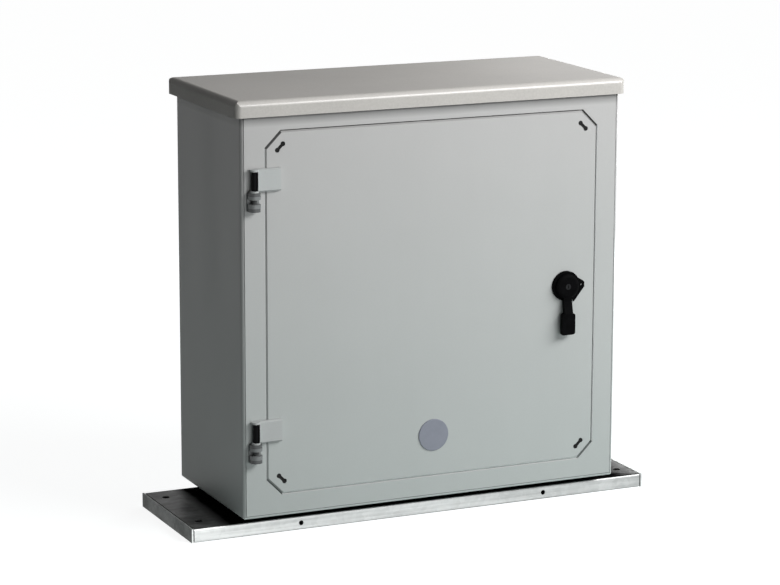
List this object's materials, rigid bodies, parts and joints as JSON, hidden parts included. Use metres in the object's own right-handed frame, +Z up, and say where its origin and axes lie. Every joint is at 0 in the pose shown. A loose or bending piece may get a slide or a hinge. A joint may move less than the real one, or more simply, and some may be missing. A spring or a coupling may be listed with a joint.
{
  "type": "roadside utility cabinet",
  "caption": "Free-standing grey moulded cabinet with an overhanging rain roof, a flush hinged door with a lever handle and rod lock, on a folded galvanised base.",
  "frame": {"origin": "on the ground plane, in the middle of the whole outline in width and depth", "axes": "+X along the width towards the door's handle side, +Y from the door to the back, +Z up"},
  "size_m": [0.92, 0.3574, 0.8],
  "materials": {
    "moulded_grey": "moulded glass-reinforced polyester, satin, light grey",
    "moulded_roof": "moulded glass-reinforced polyester, satin, warm light grey",
    "hinge_grey": "satin grey",
    "bracket_grey": "satin dark grey",
    "collar_grey": "dark grey nylon, satin",
    "pin_black": "black, satin",
    "handle_black": "black, finely textured",
    "lock_metal": "dull nickel",
    "disc_grey": "satin bluish grey, blank",
    "gasket_rubber": "closed-cell foam rubber",
    "spacer_rubber": "hard black rubber",
    "galvanised": "hot-dip galvanised, spangled",
    "zinc_hardware": "bright zinc plated",
    "brass": "plain"
  },
  "bodies": {
    "cabinet": {"body_shell": "moulded_grey", "front_frame": "moulded_grey", "roof_canopy": "moulded_roof", "roof_screws": "zinc_hardware", "hinge_bracket_upper": "bracket_grey", "hinge_bracket_lower": "bracket_grey", "hinge_bracket_nuts": "zinc_hardware", "hinge_pin_upper": "pin_black", "hinge_pin_lower": "pin_black", "hinge_collars": "collar_grey", "mounting_plate": "galvanised", "plate_inserts": "brass", "plate_screws": "zinc_hardware", "gland_plate": "galvanised", "gland_gasket": "gasket_rubber", "gland_screws": "zinc_hardware", "base_frame": "galvanised", "base_end_caps": "galvanised", "foot_spacers": "spacer_rubber", "base_bolts": "zinc_hardware", "base_washers": "zinc_hardware", "base_nuts": "zinc_hardware"},
    "door": {"door_panel": "moulded_grey", "door_gasket": "gasket_rubber", "door_disc": "disc_grey", "corner_plugs": "handle_black", "hinge_leaf_upper": "hinge_grey", "hinge_leaf_lower": "hinge_grey", "hinge_leaf_nuts": "zinc_hardware", "handle_rosette": "handle_black", "rosette_nut": "zinc_hardware", "rod_guide_upper": "handle_black", "rod_guide_lower": "handle_black", "guide_screws": "zinc_hardware"},
    "handle": {"handle_lever": "handle_black", "handle_spindle": "zinc_hardware", "lock_cam": "zinc_hardware", "cam_pins": "zinc_hardware", "cam_screw": "zinc_hardware"},
    "plug": {"lock_plug": "lock_metal"},
    "rod_upper": {"lock_rod_upper": "zinc_hardware"},
    "rod_lower": {"lock_rod_lower": "zinc_hardware"}
  },
  "joints": [
    {"name": "door_hinge", "type": "hinge", "parent": "cabinet", "child": "door", "pos_m": [-0.3535, -0.16725, 0.4135], "axis": [0, 0, -1], "range_deg": [0, 180]},
    {"name": "handle_turn", "type": "hinge", "parent": "door", "child": "handle", "pos_m": [0.2685, -0.15825, 0.4175], "axis": [0, 1, 0], "range_deg": [0, 90]},
    {"name": "key_turn", "type": "hinge", "parent": "handle", "child": "plug", "pos_m": [0.2685, -0.16825, 0.4175], "axis": [0, 1, 0], "range_deg": [0, 90]},
    {"name": "rod_upper_slide", "type": "slide", "parent": "door", "child": "rod_upper", "axis": [0, 0, 1], "range_m": [0, 0.0284]},
    {"name": "rod_lower_slide", "type": "slide", "parent": "door", "child": "rod_lower", "axis": [0, 0, -1], "range_m": [0, 0.0284]}
  ],
  "couplings": [
    {"joint": "rod_upper_slide", "follows": "handle_turn", "m_per_rad": 0.018006},
    {"joint": "rod_lower_slide", "follows": "handle_turn", "m_per_rad": 0.018006}
  ]
}
